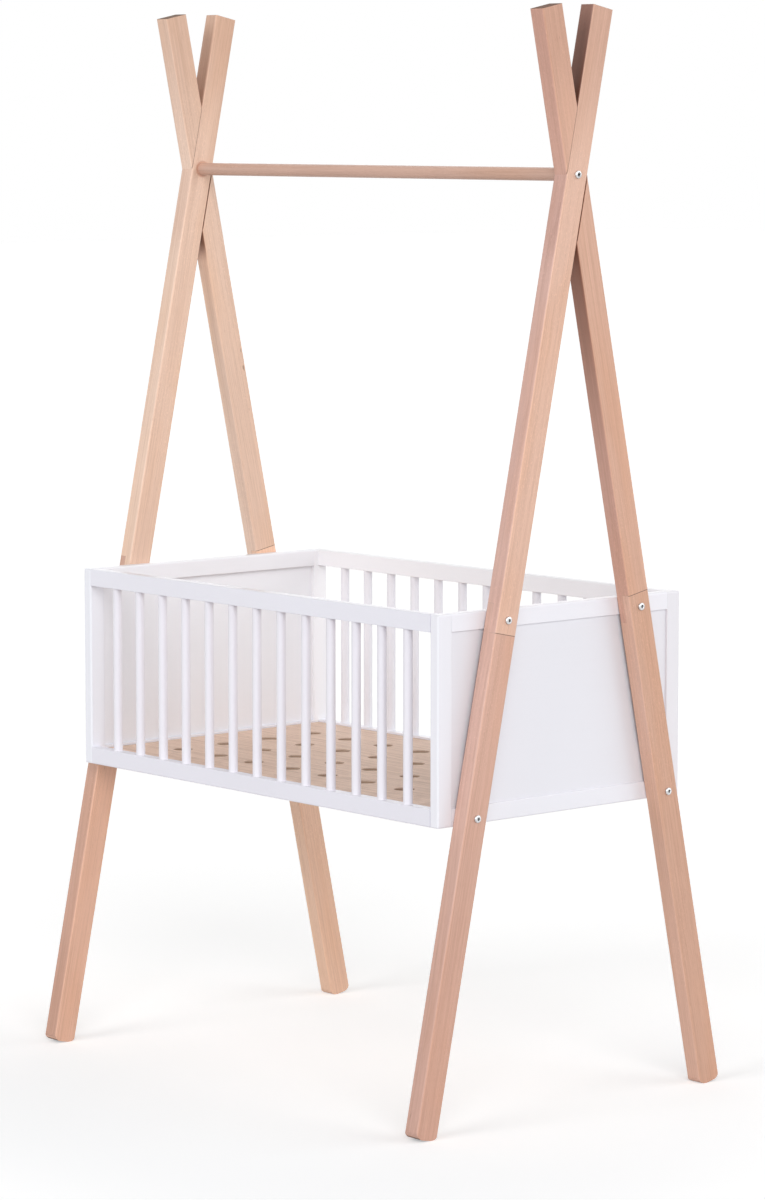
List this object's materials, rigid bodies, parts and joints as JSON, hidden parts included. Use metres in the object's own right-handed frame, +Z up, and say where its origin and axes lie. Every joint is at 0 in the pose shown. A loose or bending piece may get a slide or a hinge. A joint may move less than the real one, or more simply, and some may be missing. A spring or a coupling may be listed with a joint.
{
  "type": "cradle on a-frame stand",
  "caption": "White slatted cradle with a perforated base board, bolted between two crossed-pole beech A-frames that a round rail joins at the top.",
  "frame": {"origin": "on the floor, under the middle of the cradle box and of the four feet", "axes": "+Z up; X along the cradle, from the left A-frame to the right one; -Y towards the front side"},
  "size_m": [1.022, 0.6926, 1.8365],
  "materials": {
    "beech": "clear matt lacquer",
    "white_lacquer": "satin white lacquer",
    "plywood": "sanded, clear sealed",
    "raw_wood": "planed, unfinished",
    "zinc": "bright zinc plate",
    "insert_steel": "plain steel"
  },
  "bodies": {
    "root": {"upper_pole_front_right": "beech", "upper_pole_rear_right": "beech", "upper_pole_front_left": "beech", "upper_pole_rear_left": "beech", "lower_leg_front_right": "beech", "lower_leg_rear_right": "beech", "lower_leg_front_left": "beech", "lower_leg_rear_left": "beech", "round_rail": "beech", "right_end_front_stile": "white_lacquer", "right_end_rear_stile": "white_lacquer", "right_end_top_rail": "white_lacquer", "right_end_bottom_rail": "white_lacquer", "right_end_panel": "white_lacquer", "left_end_front_stile": "white_lacquer", "left_end_rear_stile": "white_lacquer", "left_end_top_rail": "white_lacquer", "left_end_bottom_rail": "white_lacquer", "left_end_panel": "white_lacquer", "front_top_rail": "white_lacquer", "front_bottom_rail": "white_lacquer", "rear_top_rail": "white_lacquer", "rear_bottom_rail": "white_lacquer", "front_spindle_01": "white_lacquer", "front_spindle_02": "white_lacquer", "front_spindle_03": "white_lacquer", "front_spindle_04": "white_lacquer", "front_spindle_05": "white_lacquer", "front_spindle_06": "white_lacquer", "front_spindle_07": "white_lacquer", "front_spindle_08": "white_lacquer", "front_spindle_09": "white_lacquer", "front_spindle_10": "white_lacquer", "front_spindle_11": "white_lacquer", "front_spindle_12": "white_lacquer", "front_spindle_13": "white_lacquer", "rear_spindle_01": "white_lacquer", "rear_spindle_02": "white_lacquer", "rear_spindle_03": "white_lacquer", "rear_spindle_04": "white_lacquer", "rear_spindle_05": "white_lacquer", "rear_spindle_06": "white_lacquer", "rear_spindle_07": "white_lacquer", "rear_spindle_08": "white_lacquer", "rear_spindle_09": "white_lacquer", "rear_spindle_10": "white_lacquer", "rear_spindle_11": "white_lacquer", "rear_spindle_12": "white_lacquer", "rear_spindle_13": "white_lacquer", "base_board": "plywood", "front_cleat": "raw_wood", "rear_cleat": "raw_wood", "corner_dowels": "raw_wood", "apex_bolts": "zinc", "joint_bolts": "zinc", "leg_bolts": "zinc", "cleat_screws": "zinc", "round_rail_inserts": "insert_steel", "end_rail_inserts": "insert_steel"}
  },
  "joints": []
}
